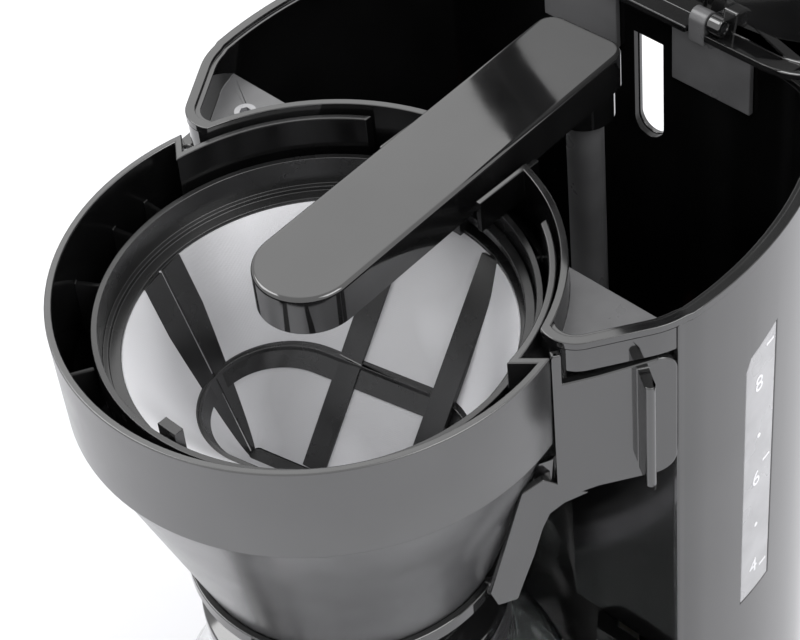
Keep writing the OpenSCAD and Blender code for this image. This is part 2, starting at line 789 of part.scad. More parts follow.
module jug_screws() color("#b8bcc0") on_axis() translate([0, -112.8, jug_top - 10]) rotate([-90, 0, 0]) {
  cylinder(h = 0.8, r = 3.4);
}

module jug_lid() color("#1a1a1d") on_axis() {
  difference() {
    union() {
      at(jug_top + 0.3) cylinder(h = 5, r = 49);
      at(jug_top + 5.3) cylinder(h = 4, r1 = 49, r2 = 40);
      at(jug_top - 7) ring(44.2, 42, 7.4);
    }
    at(jug_top + 2.6) cylinder(h = 20, r1 = 8, r2 = 30);
    at(jug_top - 1) cylinder(h = 20, r = 4);
  }
}

base_shell();
base_cover();
feet();
base_screws();
housing();
column_front();
water_tank();
tank_shelf_screw();
level_window();
riser_tube();
riser_seal();
tank_outlet_seal();
outlet_arm();
arm_tray();
hotplate();
hotplate_seal();
heater_block();
heater_tube();
heater_bracket();
thermostat();
thermal_fuses();
inlet_hose();
check_valve();
riser_hose();
hose_clips();
switch_frame();
rocker_switch();
terminal_block();
cord_gland();
lid_shell();
lid_hinge_lugs();
lid_hinge_pins();
swing_frame();
hinge_pin();
filter_holder();
drip_valve();
drip_spring();
drip_seal();
drip_cage();
filter_frame();
filter_mesh();
filter_bail();
jug_glass();
jug_band();
jug_handle();
jug_screws();
jug_lid();
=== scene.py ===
import json
import math

import bmesh
import bpy
from mathutils import Matrix, Vector


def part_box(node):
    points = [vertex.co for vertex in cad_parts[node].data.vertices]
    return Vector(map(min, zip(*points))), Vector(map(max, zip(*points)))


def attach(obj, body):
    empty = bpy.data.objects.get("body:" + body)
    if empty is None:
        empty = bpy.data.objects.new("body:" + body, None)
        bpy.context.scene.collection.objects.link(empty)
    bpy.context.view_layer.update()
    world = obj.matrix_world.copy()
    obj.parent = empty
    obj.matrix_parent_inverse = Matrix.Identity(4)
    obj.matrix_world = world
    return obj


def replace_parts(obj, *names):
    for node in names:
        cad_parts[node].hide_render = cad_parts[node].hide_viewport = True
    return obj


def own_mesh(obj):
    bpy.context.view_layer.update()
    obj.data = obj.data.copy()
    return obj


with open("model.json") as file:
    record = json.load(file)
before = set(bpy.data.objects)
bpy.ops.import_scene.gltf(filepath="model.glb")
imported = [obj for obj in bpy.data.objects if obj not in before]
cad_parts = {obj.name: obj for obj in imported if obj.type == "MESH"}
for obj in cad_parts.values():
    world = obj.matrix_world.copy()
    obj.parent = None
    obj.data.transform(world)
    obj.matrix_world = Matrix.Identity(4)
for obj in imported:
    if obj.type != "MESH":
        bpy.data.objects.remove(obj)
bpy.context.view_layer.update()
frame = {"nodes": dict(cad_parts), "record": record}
cad = frame["nodes"]
bodyOf = {n: b for b, names in frame["record"]["behaviour"]["bodies"].items() for n in names}
slotOf = {s["node"]: s["material_slot"] for s in frame["record"]["subparts"]}
mm = 0.001

# Places that everything else hangs on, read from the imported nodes
plateLow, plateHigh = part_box("hotplate")
brewX, brewY = (plateLow.x + plateHigh.x) / 2, (plateLow.y + plateHigh.y) / 2
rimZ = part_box("filter_holder")[1].z
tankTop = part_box("water_tank")[1].z
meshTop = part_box("filter_mesh")[1].z


# A point given in millimetres: x and y from the brewing axis, z from the ground
def at(x, y, z):
    return Vector((brewX + x * mm, brewY + y * mm, z * mm))


def addNode(tree, kind, values=None, **settings):
    made = tree.nodes.new(kind)
    for key, value in settings.items():
        setattr(made, key, value)
    for key, value in (values or {}).items():
        made.inputs[key].default_value = value
    return made


def join(tree, source, output, target, socket):
    tree.links.new(source.outputs[output], target.inputs[socket])


def blankFinish(name, roughness, **sockets):
    made = bpy.data.materials.new(name)
    made.use_nodes = True
    shader = made.node_tree.nodes["Principled BSDF"]
    shader.inputs["Roughness"].default_value = roughness
    for key, value in sockets.items():
        shader.inputs[key.replace("_", " ")].default_value = value
    return made, made.node_tree, shader


def noiseOf(tree, scale, detail=3.0, stretch=(1, 1, 1)):
    place = addNode(tree, "ShaderNodeTexCoord")
    mapping = addNode(tree, "ShaderNodeMapping", {"Scale": stretch})
    noise = addNode(tree, "ShaderNodeTexNoise", {"Scale": scale, "Detail": detail})
    join(tree, place, "Object", mapping, "Vector")
    join(tree, mapping, "Vector", noise, "Vector")
    return noise


def tones(tree, noise, shader, low, high, start=0.35, stop=0.65):
    ramp = addNode(tree, "ShaderNodeValToRGB")
    ramp.color_ramp.elements[0].position = start
    ramp.color_ramp.elements[1].position = stop
    ramp.color_ramp.elements[0].color = (*low, 1)
    ramp.color_ramp.elements[1].color = (*high, 1)
    join(tree, noise, "Fac", ramp, "Fac")
    join(tree, ramp, "Color", shader, "Base Color")


def roughRange(tree, noise, shader, low, high):
    spread = addNode(tree, "ShaderNodeMapRange",
                     {"From Min": 0.3, "From Max": 0.7, "To Min": low, "To Max": high})
    join(tree, noise, "Fac", spread, "Value")
    join(tree, spread, "Result", shader, "Roughness")


def bumpOf(tree, noise, shader, distance, strength=1.0):
    bump = addNode(tree, "ShaderNodeBump", {"Strength": strength, "Distance": distance})
    join(tree, noise, "Fac", bump, "Height")
    join(tree, bump, "Normal", shader, "Normal")


def grey(value):
    return (value, value, value * 1.03)


def mouldedPlastic(name, tone, roughLow, roughHigh, grainScale=420, grainDepth=0.00002,
                   spread=0.5, ior=1.9):
    finish, tree, shader = blankFinish(name, roughLow, IOR=ior)
    cloud = noiseOf(tree, 24, 4)
    tones(tree, cloud, shader, grey(tone * (1 - spread)), grey(tone * (1 + spread)))
    roughRange(tree, noiseOf(tree, 60, 5), shader, roughLow, roughHigh)
    bumpOf(tree, noiseOf(tree, grainScale, 2), shader, grainDepth)
    return finish


def brushedSteel(name, tone=0.55, stretch=(1, 1, 40)):
    finish, tree, shader = blankFinish(name, 0.3, Metallic=1.0)
    grain = noiseOf(tree, 220, 3, stretch)
    tones(tree, grain, shader, grey(tone * 0.85), grey(tone * 1.15))
    roughRange(tree, grain, shader, 0.22, 0.38)
    bumpOf(tree, grain, shader, 0.00001)
    return finish


def frostedWindow(name):
    finish, tree, shader = blankFinish(name, 0.35, IOR=1.46)
    tones(tree, noiseOf(tree, 90, 3), shader, grey(0.36), grey(0.42))
    roughRange(tree, noiseOf(tree, 40, 3), shader, 0.22, 0.4)
    shader.inputs["Subsurface Weight"].default_value = 0.25
    shader.inputs["Subsurface Radius"].default_value = (0.004, 0.004, 0.004)
    return finish


def wovenMesh(name):
    finish, tree, shader = blankFinish(name, 0.6)
    cloud = noiseOf(tree, 17, 2, (1, 1, 0.3))
    tones(tree, cloud, shader, grey(0.52), grey(0.95), 0.38, 0.6)
    place = addNode(tree, "ShaderNodeTexCoord")
    threads = []
    for direction in ("X", "Z"):
        wave = addNode(tree, "ShaderNodeTexWave", {"Scale": 700.0}, bands_direction=direction)
        join(tree, place, "Object", wave, "Vector")
        threads.append(wave)
    crossing = addNode(tree, "ShaderNodeMath", operation="MULTIPLY")
    join(tree, threads[0], "Fac", crossing, 0)
    join(tree, threads[1], "Fac", crossing, 1)
    bump = addNode(tree, "ShaderNodeBump", {"Strength": 0.35, "Distance": 0.0001})
    join(tree, crossing, "Value", bump, "Height")
    join(tree, bump, "Normal", shader, "Normal")
    return finish


def clearGlass(name):
    finish, tree, shader = blankFinish(name, 0.02, IOR=1.47)
    shader.inputs["Transmission Weight"].default_value = 1.0
    tones(tree, noiseOf(tree, 14, 2), shader, (0.93, 0.96, 0.96), (0.98, 0.99, 0.99))
    roughRange(tree, noiseOf(tree, 30, 3), shader, 0.0, 0.05)
    return finish


def softRubber(name, low, high, roughness=0.7):
    finish, tree, shader = blankFinish(name, roughness)
    tones(tree, noiseOf(tree, 70, 4), shader, low, high)
    roughRange(tree, noiseOf(tree, 90, 3), shader, roughness - 0.12, roughness + 0.1)
    bumpOf(tree, noiseOf(tree, 700, 2), shader, 0.00005)
    return finish


# Plastics give tone, lowest and highest roughness, grain scale and depth, spread of tone, refraction
print("finishes")
finishes = {
    "gloss_black": mouldedPlastic("gloss_black", 0.008, 0.04, 0.09, 260, 0.000003),
    # The paler bowl finish is a painted reflection of the bright floor on the holder's lower bowl
    "bowl_painted_reflection": mouldedPlastic("bowl_painted_reflection", 0.07, 0.2, 0.27, 260, 0.000003, 0.25, 2.0),
    "gloss_soft": mouldedPlastic("gloss_soft", 0.012, 0.2, 0.27, 260, 0.000003, 0.5, 2.0),
    "tank_black": mouldedPlastic("tank_black", 0.003, 0.12, 0.2, 260, 0.000006, 0.5, 1.35),
    "satin_black": mouldedPlastic("satin_black", 0.012, 0.2, 0.32, 600, 0.00001, 0.4, 1.7),
    "rubber_black": softRubber("rubber_black", grey(0.012), grey(0.025)),
    "steel": brushedSteel("steel", 0.32),
    "clear_plastic": frostedWindow("clear_plastic"),
    "riser_plastic": mouldedPlastic("riser_plastic", 0.13, 0.25, 0.4, 300, 0.00001, 0.3, 1.6),
    "silicone_red": softRubber("silicone_red", (0.32, 0.05, 0.03), (0.42, 0.08, 0.05), 0.45),
    "hotplate_coat": mouldedPlastic("hotplate_coat", 0.02, 0.35, 0.5, 800, 0.00003),
    "aluminium": brushedSteel("aluminium", 0.65, (1, 1, 6)),
    "phenolic": mouldedPlastic("phenolic", 0.07, 0.4, 0.55),
    "fuse_sleeve": softRubber("fuse_sleeve", (0.62, 0.58, 0.5), (0.78, 0.75, 0.68), 0.8),
    "silicone_clear": softRubber("silicone_clear", (0.6, 0.57, 0.5), (0.72, 0.69, 0.62), 0.4),
    "valve_white": mouldedPlastic("valve_white", 0.75, 0.3, 0.4, 300, 0.00001, 0.05, 1.5),
    "rocker_red": softRubber("rocker_red", (0.3, 0.012, 0.01), (0.4, 0.02, 0.015), 0.3),
    "mesh_fabric": wovenMesh("mesh_fabric"),
    "jug_glass": clearGlass("jug_glass"),
    "band_steel": brushedSteel("band_steel", 0.6, (1, 1, 60)),
}


# Angles in degrees past which an edge is shaded sharp, or gets a rounded edge
edgeAngles = {"sharp": 32, "bevel": 38}
mergeGap = 3e-6


# A copy of a CAD node with its loose triangles joined
def mergedCopy(node):
    shape = bmesh.new()
    shape.from_mesh(cad[node].data)
    bmesh.ops.remove_doubles(shape, verts=shape.verts, dist=mergeGap)
    return shape


def putPiece(name, shape, node, finish=None):
    mesh = bpy.data.meshes.new(name)
    shape.to_mesh(mesh)
    shape.free()
    return dress(name, mesh, node, finish)


# Makes a mesh an object that rides on its node's body, with the node's finish or another one
def dress(name, mesh, node, finish=None):
    piece = bpy.data.objects.new(name, mesh)
    bpy.context.scene.collection.objects.link(piece)
    look = finish or slotOf[node]
    mesh.materials.clear()
    mesh.materials.append(finishes[look])
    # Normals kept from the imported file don't fit the merged mesh
    kept = mesh.attributes.get("custom_normal")
    if kept:
        mesh.attributes.remove(kept)
    mesh.shade_smooth()
    mesh.set_sharp_from_angle(angle=math.radians(edgeAngles["sharp"]))
    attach(piece, bodyOf[node])
    return piece


def roundEdges(piece, width, segments=3):
    bevel = piece.modifiers.new("Rounded edges", "BEVEL")
    bevel.width = width * mm
    bevel.segments = segments
    bevel.limit_method = "ANGLE"
    bevel.angle_limit = math.radians(edgeAngles["bevel"])
    bevel.use_clamp_overlap = False
    bevel.harden_normals = True


# Edge radius in millimetres of each moulded or pressed piece
edgeRadius = {
    "base_shell": 0.8, "base_cover": 0.4, "feet": 0.8, "housing": 0.5, "column_front": 0.5,
    "water_tank": 0.3, "arm_tray": 0.3, "hotplate": 0.4, "switch_frame": 0.5,
    "rocker_switch": 0.5, "cord_gland": 0.4, "lid_shell": 0.7, "lid_hinge_lugs": 0.4,
    "swing_frame": 0.5, "filter_holder": 0.5, "filter_frame": 0.25, "filter_bail": 0.4,
    "jug_band": 0.3, "jug_lid": 0.6, "level_window": 0.3,
}
# Pieces whose look differs from their slot in the record; the column front's duller, darker tank black is
# painted shade, so its front wall reads black instead of reflecting the floor
otherFinish = {"lid_hinge_lugs": "riser_plastic", "filter_holder": "gloss_soft",
               "column_front": "tank_black"}

# Depths in millimetres below the tank's top, and how far out its skirt begins
tankZones = {"rim": 2.5, "skirt": 11.2, "shelfHigh": 10.5, "shelfLow": 11.5, "skirtX": 70, "skirtY": 50}


# The tank is polished on its rim and skirt, grey on the up-facing tops of its shelves and dark inside
def paintTank(piece):
    mesh = piece.data
    mesh.materials.append(finishes["gloss_black"])
    mesh.materials.append(finishes["riser_plastic"])
    for face in mesh.polygons:
        drop = (tankTop - face.center.z) / mm
        outside = (abs(face.center.x - brewX) > tankZones["skirtX"] * mm
                   or face.center.y < brewY + tankZones["skirtY"] * mm)
        if face.normal.z > 0.9 and tankZones["shelfHigh"] < drop < tankZones["shelfLow"]:
            face.material_index = 2
        elif drop < tankZones["rim"] or (drop < tankZones["skirt"] and outside):
            face.material_index = 1


# Depths in millimetres below the holder's rim
holderZones = {"rim": 1, "band": 34.5}


# The holder is dull inside, and its lower bowl is painted paler than its band: a painted reflection of the
# bright floor below
def paintHolder(piece):
    mesh = piece.data
    mesh.materials.append(finishes["tank_black"])
    mesh.materials.append(finishes["bowl_painted_reflection"])
    for face in mesh.polygons:
        out = Vector((face.center.x - brewX, face.center.y - brewY)).normalized()
        facing = out.dot(face.normal.xy)
        drop = (rimZ - face.center.z) / mm
        if drop > holderZones["rim"] and (facing < -0.2 or face.normal.z > 0.5):
            face.material_index = 1
        # Outward faces of the lower bowl take the paler finish, a painted reflection of the floor
        elif drop > holderZones["band"] and facing > 0:
            face.material_index = 2


print("pieces with rounded edges")
for node, radius in edgeRadius.items():
    piece = putPiece(node + "_skin", mergedCopy(node), node, otherFinish.get(node))
    if node == "water_tank":
        paintTank(piece)
    if node == "filter_holder":
        paintHolder(piece)
    roundEdges(piece, radius)
    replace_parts(piece, node)


# Starts a Geometry Nodes tree with a float input for each named size
def growTree(name, sizes):
    tree = bpy.data.node_groups.new(name, "GeometryNodeTree")
    for label, value in sizes.items():
        socket = tree.interface.new_socket(name=label, in_out="INPUT", socket_type="NodeSocketFloat")
        socket.default_value = value
    tree.interface.new_socket(name="Geometry", in_out="OUTPUT", socket_type="NodeSocketGeometry")
    return tree, addNode(tree, "NodeGroupInput"), addNode(tree, "NodeGroupOutput")


# Realizes, paints and puts out what a tree has made
def closeTree(tree, last, output, end, finish):
    real = addNode(tree, "GeometryNodeRealizeInstances")
    paint = addNode(tree, "GeometryNodeSetMaterial")
    paint.inputs["Material"].default_value = finishes[finish]
    join(tree, last, output, real, "Geometry")
    join(tree, real, "Geometry", paint, "Geometry")
    join(tree, paint, "Geometry", end, "Geometry")


# The evaluated shape of an object as a plain mesh; the object itself goes
def plainMesh(source):
    bpy.context.view_layer.update()
    mesh = bpy.data.meshes.new_from_object(source.evaluated_get(bpy.context.evaluated_depsgraph_get()))
    bpy.data.objects.remove(source)
    return mesh


# Evaluates a tree once and keeps the result as plain mesh
def grow(name, tree, values, node, finish=None):
    source = bpy.data.objects.new(name + "_source", bpy.data.meshes.new(name + "_source"))
    bpy.context.scene.collection.objects.link(source)
    modifier = source.modifiers.new("Shape", "NODES")
    modifier.node_group = tree
    for item in tree.interface.items_tree:
        if item.in_out == "INPUT" and item.name in values:
            modifier[item.identifier] = float(values[item.name])
    mesh = plainMesh(source)
    mesh.name = name
    return dress(name, mesh, node, finish)


# A math node on two inputs, each a number or a node with one of its outputs
def sumOf(tree, operation, first, firstOutput, second, secondOutput=0):
    made = addNode(tree, "ShaderNodeMath", operation=operation)
    for socket, source, output in ((0, first, firstOutput), (1, second, secondOutput)):
        if isinstance(source, (int, float)):
            made.inputs[socket].default_value = source
        else:
            join(tree, source, output, made, socket)
    return made


def oneOf(tree, operation, first, firstOutput=0):
    made = addNode(tree, "ShaderNodeMath", operation=operation)
    join(tree, first, firstOutput, made, 0)
    return made


# Wedge-shaped mesh of the permanent filter: a stadium plan that narrows evenly with depth
print("filter mesh")
meshSizes = {"Top radius": 57.3, "Half length": 35.0, "Half width": 3.0, "Depth": 67.5, "Thickness": 0.7}
meshGrid = {"turn": 12.0, "around": 144, "down": 24, "weld": 0.00002}
tree, start, end = growTree("wedge_mesh", {label: size * mm for label, size in meshSizes.items()})
grid = addNode(tree, "GeometryNodeMeshGrid", {
    "Size X": math.tau, "Size Y": 1.0,
    "Vertices X": meshGrid["around"] + 1, "Vertices Y": meshGrid["down"] + 1})
place = addNode(tree, "GeometryNodeInputPosition")
parts = addNode(tree, "ShaderNodeSeparateXYZ")
join(tree, place, "Position", parts, "Vector")
depth = sumOf(tree, "ADD", parts, "Y", 0.5)
halfLength, halfWidth = [
    sumOf(tree, "MULTIPLY_ADD", sumOf(tree, "SUBTRACT", start, low, start, "Top radius"), 0, depth)
    for low in ("Half length", "Half width")]
for reach in (halfLength, halfWidth):
    join(tree, start, "Top radius", reach, 2)
straight = sumOf(tree, "SUBTRACT", halfLength, 0, halfWidth)
cosine = oneOf(tree, "COSINE", parts, "X")
sine = oneOf(tree, "SINE", parts, "X")
# Rounding makes a cosine that is nearly zero count as zero, so the two ends share their middle points
evenCosine = oneOf(tree, "ROUND", sumOf(tree, "MULTIPLY", cosine, 0, 4000.0))
side = oneOf(tree, "SIGN", evenCosine)
roundPart = sumOf(tree, "MULTIPLY", halfWidth, 0, cosine)
acrossX = sumOf(tree, "ADD", roundPart, 0, sumOf(tree, "MULTIPLY", straight, 0, side))
acrossY = sumOf(tree, "MULTIPLY", halfWidth, 0, sine)
drop = sumOf(tree, "MULTIPLY", sumOf(tree, "MULTIPLY", depth, 0, start, "Depth"), 0, -1.0)
whole = addNode(tree, "ShaderNodeCombineXYZ")
for axis, value in (("X", acrossX), ("Y", acrossY), ("Z", drop)):
    join(tree, value, 0, whole, axis)
setPlace = addNode(tree, "GeometryNodeSetPosition")
join(tree, grid, "Mesh", setPlace, "Geometry")
join(tree, whole, "Vector", setPlace, "Position")
welded = addNode(tree, "GeometryNodeMergeByDistance", {"Distance": meshGrid["weld"]})
join(tree, setPlace, "Geometry", welded, "Geometry")
thick = addNode(tree, "GeometryNodeExtrudeMesh", {"Individual": False})
join(tree, welded, "Geometry", thick, "Mesh")
join(tree, start, "Thickness", thick, "Offset Scale")
inner = addNode(tree, "GeometryNodeFlipFaces")
join(tree, welded, "Geometry", inner, "Mesh")
twoSides = addNode(tree, "GeometryNodeJoinGeometry")
join(tree, thick, "Mesh", twoSides, "Geometry")
join(tree, inner, "Mesh", twoSides, "Geometry")
sealed = addNode(tree, "GeometryNodeMergeByDistance", {"Distance": meshGrid["weld"]})
join(tree, twoSides, "Geometry", sealed, "Geometry")
placed = addNode(tree, "GeometryNodeTransform", {
    "Translation": at(0, 0, meshTop / mm), "Rotation": (0, 0, math.radians(meshGrid["turn"]))})
join(tree, sealed, "Geometry", placed, "Geometry")
closeTree(tree, placed, "Geometry", end, "mesh_fabric")
meshPiece = grow("filter_mesh_cloth", tree, {}, "filter_mesh")
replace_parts(meshPiece, "filter_mesh")


# A ring of points round the wedge at a depth below its top, set in from the mesh
def wedgeRing(depth, inset, steps=96):
    share = depth / meshSizes["Depth"]
    halfLong = meshSizes["Top radius"] + (meshSizes["Half length"] - meshSizes["Top radius"]) * share
    halfWide = meshSizes["Top radius"] + (meshSizes["Half width"] - meshSizes["Top radius"]) * share
    ring = []
    for k in range(steps):
        turn = math.tau * (k + 0.5) / steps
        x = (halfWide - inset) * math.cos(turn) + math.copysign(halfLong - halfWide, math.cos(turn))
        y = (halfWide - inset) * math.sin(turn)
        spot = Matrix.Rotation(math.radians(meshGrid["turn"]), 2) @ Vector((x, y))
        ring.append(at(spot.x, spot.y, meshTop / mm - depth))
    return ring


# Skins neighbouring rings of points with four-sided faces
def bridge(shape, rings):
    for lower, upper in zip(rings, rings[1:]):
        for k in range(len(lower)):
            other = (k + 1) % len(lower)
            shape.faces.new((lower[k], lower[other], upper[other], upper[k]))


# Band round the inside of the mesh, halfway down
print("filter band")
band = {"top": 37.5, "foot": 44.5, "outer": 0.2, "inner": 1.3}
bandShape = bmesh.new()
bandRows = [[bandShape.verts.new(point) for point in wedgeRing(band[depth], band[inset])]
            for depth, inset in (("top", "outer"), ("top", "inner"), ("foot", "inner"), ("foot", "outer"))]
bridge(bandShape, bandRows + bandRows[:1])
bmesh.ops.recalc_face_normals(bandShape, faces=bandShape.faces)
putPiece("filter_mid_band", bandShape, "filter_frame")

# Closing spring of the drip valve, as a coil between the CAD rings' ends
print("spring")
springLow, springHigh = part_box("drip_spring")
springSizes = {"Radius": 4.6, "Wire": 0.45, "Turns": 4.5}
tree, start, end = growTree("coil", {"Radius": springSizes["Radius"] * mm, "Wire": springSizes["Wire"] * mm,
                                     "Turns": springSizes["Turns"], "Height": 0.008})
coil = addNode(tree, "GeometryNodeCurveSpiral", {"Resolution": 40})
for socket, source in (("Start Radius", "Radius"), ("End Radius", "Radius"),
                       ("Rotations", "Turns"), ("Height", "Height")):
    join(tree, start, source, coil, socket)
wire = addNode(tree, "GeometryNodeCurvePrimitiveCircle", {"Resolution": 12})
join(tree, start, "Wire", wire, "Radius")
swept = addNode(tree, "GeometryNodeCurveToMesh", {"Fill Caps": True})
join(tree, coil, "Curve", swept, "Curve")
join(tree, wire, "Curve", swept, "Profile Curve")
springFoot = springLow.z / mm + springSizes["Wire"]
moved = addNode(tree, "GeometryNodeTransform", {"Translation": at(0, 0, springFoot)})
join(tree, swept, "Mesh", moved, "Geometry")
closeTree(tree, moved, "Geometry", end, "steel")
springHeight = springHigh.z - springLow.z - 2 * springSizes["Wire"] * mm
springPiece = grow("closing_spring", tree, {"Height": springHeight}, "drip_spring")
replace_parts(springPiece, "drip_spring")
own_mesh(springPiece)

# Raised marks on the level window, in millimetres below the holder's rim: bars, dots and numbers
print("gauge")
gauge = {"proud": 0.3, "markTurn": 6, "barTurn": 8,
         "barLength": 4.0, "barHeight": 0.8, "barInset": 3.6, "firstBar": 36.0, "barStep": 49.0, "bars": 3,
         "dotSize": 1.7, "dotAside": 0.5, "firstDot": 71.5, "dotStep": 40.3, "dots": 2,
         "digitHeight": 8.5, "numberAside": 1.2, "firstNumber": 49.0, "numberStep": 41.2,
         "numbers": ["8", "6", "4"]}
windowLow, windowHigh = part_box("level_window")
windowY = (windowLow.y + windowHigh.y) / 2
sideArc = {"x": -38.4, "y": 68, "radius": 132.6}


# How far out the window's face stands at y, on the arc of the housing's side
def windowFace(y):
    bulge = sideArc["radius"] * mm
    return brewX + sideArc["x"] * mm + math.sqrt(bulge ** 2 - (y - brewY - sideArc["y"] * mm) ** 2)


# A column of small marks down the window, at y, the first at drop millimetres below the rim
def gaugeColumn(name, y, drop, step, count, size, isRound):
    tree, start, end = growTree(name, {"Length": size[0] * mm, "Height": size[1] * mm,
                                       "Proud": gauge["proud"] * mm, "Step": step * mm})
    line = addNode(tree, "GeometryNodeMeshLine", {
        "Count": count, "Start Location": (windowFace(y), y, rimZ - drop * mm)})
    stepDown = addNode(tree, "ShaderNodeCombineXYZ")
    join(tree, sumOf(tree, "MULTIPLY", start, "Step", -1.0), 0, stepDown, "Z")
    join(tree, stepDown, "Vector", line, "Offset")
    if isRound:
        mark = addNode(tree, "GeometryNodeMeshCylinder", {"Vertices": 20})
        join(tree, sumOf(tree, "MULTIPLY", start, "Height", 0.5), 0, mark, "Radius")
        join(tree, start, "Proud", mark, "Depth")
        tilt = (0, math.pi / 2, math.radians(gauge["markTurn"]))
    else:
        mark = addNode(tree, "GeometryNodeMeshCube")
        barSize = addNode(tree, "ShaderNodeCombineXYZ")
        for axis, source in (("X", "Proud"), ("Y", "Length"), ("Z", "Height")):
            join(tree, start, source, barSize, axis)
        join(tree, barSize, "Vector", mark, "Size")
        tilt = (0, 0, math.radians(gauge["barTurn"]))
    marks = addNode(tree, "GeometryNodeInstanceOnPoints", {"Rotation": tilt})
    join(tree, line, "Mesh", marks, "Points")
    join(tree, mark, "Mesh", marks, "Instance")
    closeTree(tree, marks, "Instances", end, "valve_white")
    return grow(name, tree, {}, "level_window", "valve_white")


gaugeColumn("gauge_bars", windowHigh.y - gauge["barInset"] * mm, gauge["firstBar"], gauge["barStep"],
            gauge["bars"], (gauge["barLength"], gauge["barHeight"]), isRound=False)
gaugeColumn("gauge_dots", windowY - gauge["dotAside"] * mm, gauge["firstDot"], gauge["dotStep"],
            gauge["dots"], (gauge["dotSize"], gauge["dotSize"]), isRound=True)

# Turns lettering that lies flat so that it stands on the window: its X to Y, its Y to Z
standing = Matrix(((0, 0, 1, 0), (1, 0, 0, 0), (0, 1, 0, 0), (0, 0, 0, 1)))

for index, number in enumerate(gauge["numbers"]):
    letters = bpy.data.curves.new("number", "FONT")
    letters.body = number
    letters.size = gauge["digitHeight"] * mm
    letters.extrude = gauge["proud"] * mm / 2
    letters.align_x = "CENTER"
    letters.align_y = "CENTER"
    source = bpy.data.objects.new("number_source", letters)
    bpy.context.scene.collection.objects.link(source)
    mesh = plainMesh(source)
    y = windowY - gauge["numberAside"] * mm
    height = rimZ - (gauge["firstNumber"] + index * gauge["numberStep"]) * mm
    mesh.transform(Matrix.Translation((windowFace(y), y, height))
                   @ Matrix.Rotation(math.radians(gauge["markTurn"]), 4, "Z") @ standing)
    dress("gauge_number_" + number, mesh, "level_window", "valve_white")


# Skin through rings of points, closed at both ends
def loft(rings):
    shape = bmesh.new()
    rows = [[shape.verts.new(point) for point in ring] for ring in rings]
    bridge(shape, rows)
    shape.faces.new(rows[0][::-1])
    shape.faces.new(rows[-1])
    bmesh.ops.recalc_face_normals(shape, faces=shape.faces)
    return shape


# Sweeps a rounded rectangle along a path in the plane x = 0
def sweptBar(path, width, thickness, corner, sides=6):
    section = []
    for cx, cy, first in ((1, 1, 0), (-1, 1, 90), (-1, -1, 180), (1, -1, 270)):
        for k in range(sides + 1):
            turn = math.radians(first + 90 * k / sides)
            section.append((cx * (width / 2 - corner) + corner * math.cos(turn),
                            cy * (thickness / 2 - corner) + corner * math.sin(turn)))
    rings = []
    for index, (y, z) in enumerate(path):
        before, after = path[max(index - 1, 0)], path[min(index + 1, len(path) - 1)]
        along = Vector((after[0] - before[0], after[1] - before[1])).normalized()
        out = Vector((-along.y, along.x))
        rings.append([at(u, y + out.x * v, z + out.y * v) for u, v in section])
    return loft(rings)


# Points of a path whose corners are rounded to radius
def roundedPath(corners, radius, steps=8):
    points = [corners[0]]
    for before, here, after in zip(corners, corners[1:], corners[2:]):
        here = Vector(here)
        arrive = here + (Vector(before) - here).normalized() * radius
        leave = here + (Vector(after) - here).normalized() * radius
        for k in range(steps + 1):
            t = k / steps
            spot = arrive * (1 - t) ** 2 + here * 2 * t * (1 - t) + leave * t ** 2
            points.append((spot.x, spot.y))
    return points + [corners[-1]]


# Points on an arc from the first angle to the last, both in degrees
def arcPoints(x, y, radius, first, last, steps):
    turns = [math.radians(first + (last - first) * k / steps) for k in range(steps + 1)]
    return [(x + radius * math.cos(t), y + radius * math.sin(t)) for t in turns]


# Outlet arm: round tip, small rear corners, a rounded top edge and a sunk underside for its tray
print("outlet arm")
arm = {"width": 30.5, "thickness": 13.2, "turn": 2.7, "aside": -3.9, "tipY": -3.0, "endY": 123.0,
       "riserY": 115.0, "corner": 6.0, "edge": 1.3, "lip": 2.0, "lipEdge": 0.3, "sunk": 1.8,
       "boss": 9.5, "bossEdge": 0.5, "bossSides": 48, "bore": 5.95, "bossDrop": 12.4, "bossRise": 1.0}
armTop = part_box("outlet_arm")[1].z / mm
armLow = armTop - arm["thickness"]
turning = Matrix.Rotation(math.radians(arm["turn"]), 3, "Z")


# A point of the arm, turned about the riser
def inArm(x, y, z):
    spot = turning @ Vector((x, y - arm["riserY"], 0))
    return at(spot.x, spot.y + arm["riserY"], z)


# The arm's outline at a height, set in by inset
def armRing(inset, z):
    half = arm["width"] / 2
    side = half - arm["corner"]
    rear = arm["endY"] - arm["corner"]
    outline = (arcPoints(arm["aside"], arm["tipY"], half - inset, 180, 360, 48)
               + arcPoints(arm["aside"] + side, rear, arm["corner"] - inset, 0, 90, 10)
               + arcPoints(arm["aside"] - side, rear, arm["corner"] - inset, 90, 180, 10))
    return [inArm(x, y, z) for x, y in outline]


edgeTurns = [math.radians(90 * k / 6) for k in range(7)]
armRings = [armRing(arm["lip"], armLow + arm["sunk"]), armRing(arm["lip"], armLow),
            armRing(arm["lipEdge"], armLow), armRing(0, armLow + arm["lipEdge"])]
armRings += [armRing(arm["edge"] * (1 - math.cos(t)), armTop - arm["edge"] * (1 - math.sin(t)))
             for t in edgeTurns]
armRings.append(armRing(arm["edge"] + arm["lipEdge"], armTop))
armShape = loft(armRings)
bossRings = []
bossFoot = armLow - arm["bossDrop"]
bossTop = armLow + arm["bossRise"]
lastTurn = 360 - 360 / arm["bossSides"]
for radius, z in ((arm["bore"], bossFoot), (arm["boss"] - arm["bossEdge"], bossFoot),
                  (arm["boss"], bossFoot + arm["bossEdge"]), (arm["boss"], bossTop), (arm["bore"], bossTop)):
    bossRings.append([armShape.verts.new(inArm(x, y + arm["riserY"], z))
                      for x, y in arcPoints(0, 0, radius, 0, lastTurn, arm["bossSides"] - 1)])
bridge(armShape, bossRings + bossRings[:1])
bmesh.ops.recalc_face_normals(armShape, faces=armShape.faces)
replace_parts(putPiece("outlet_arm_skin", armShape, "outlet_arm"), "outlet_arm")

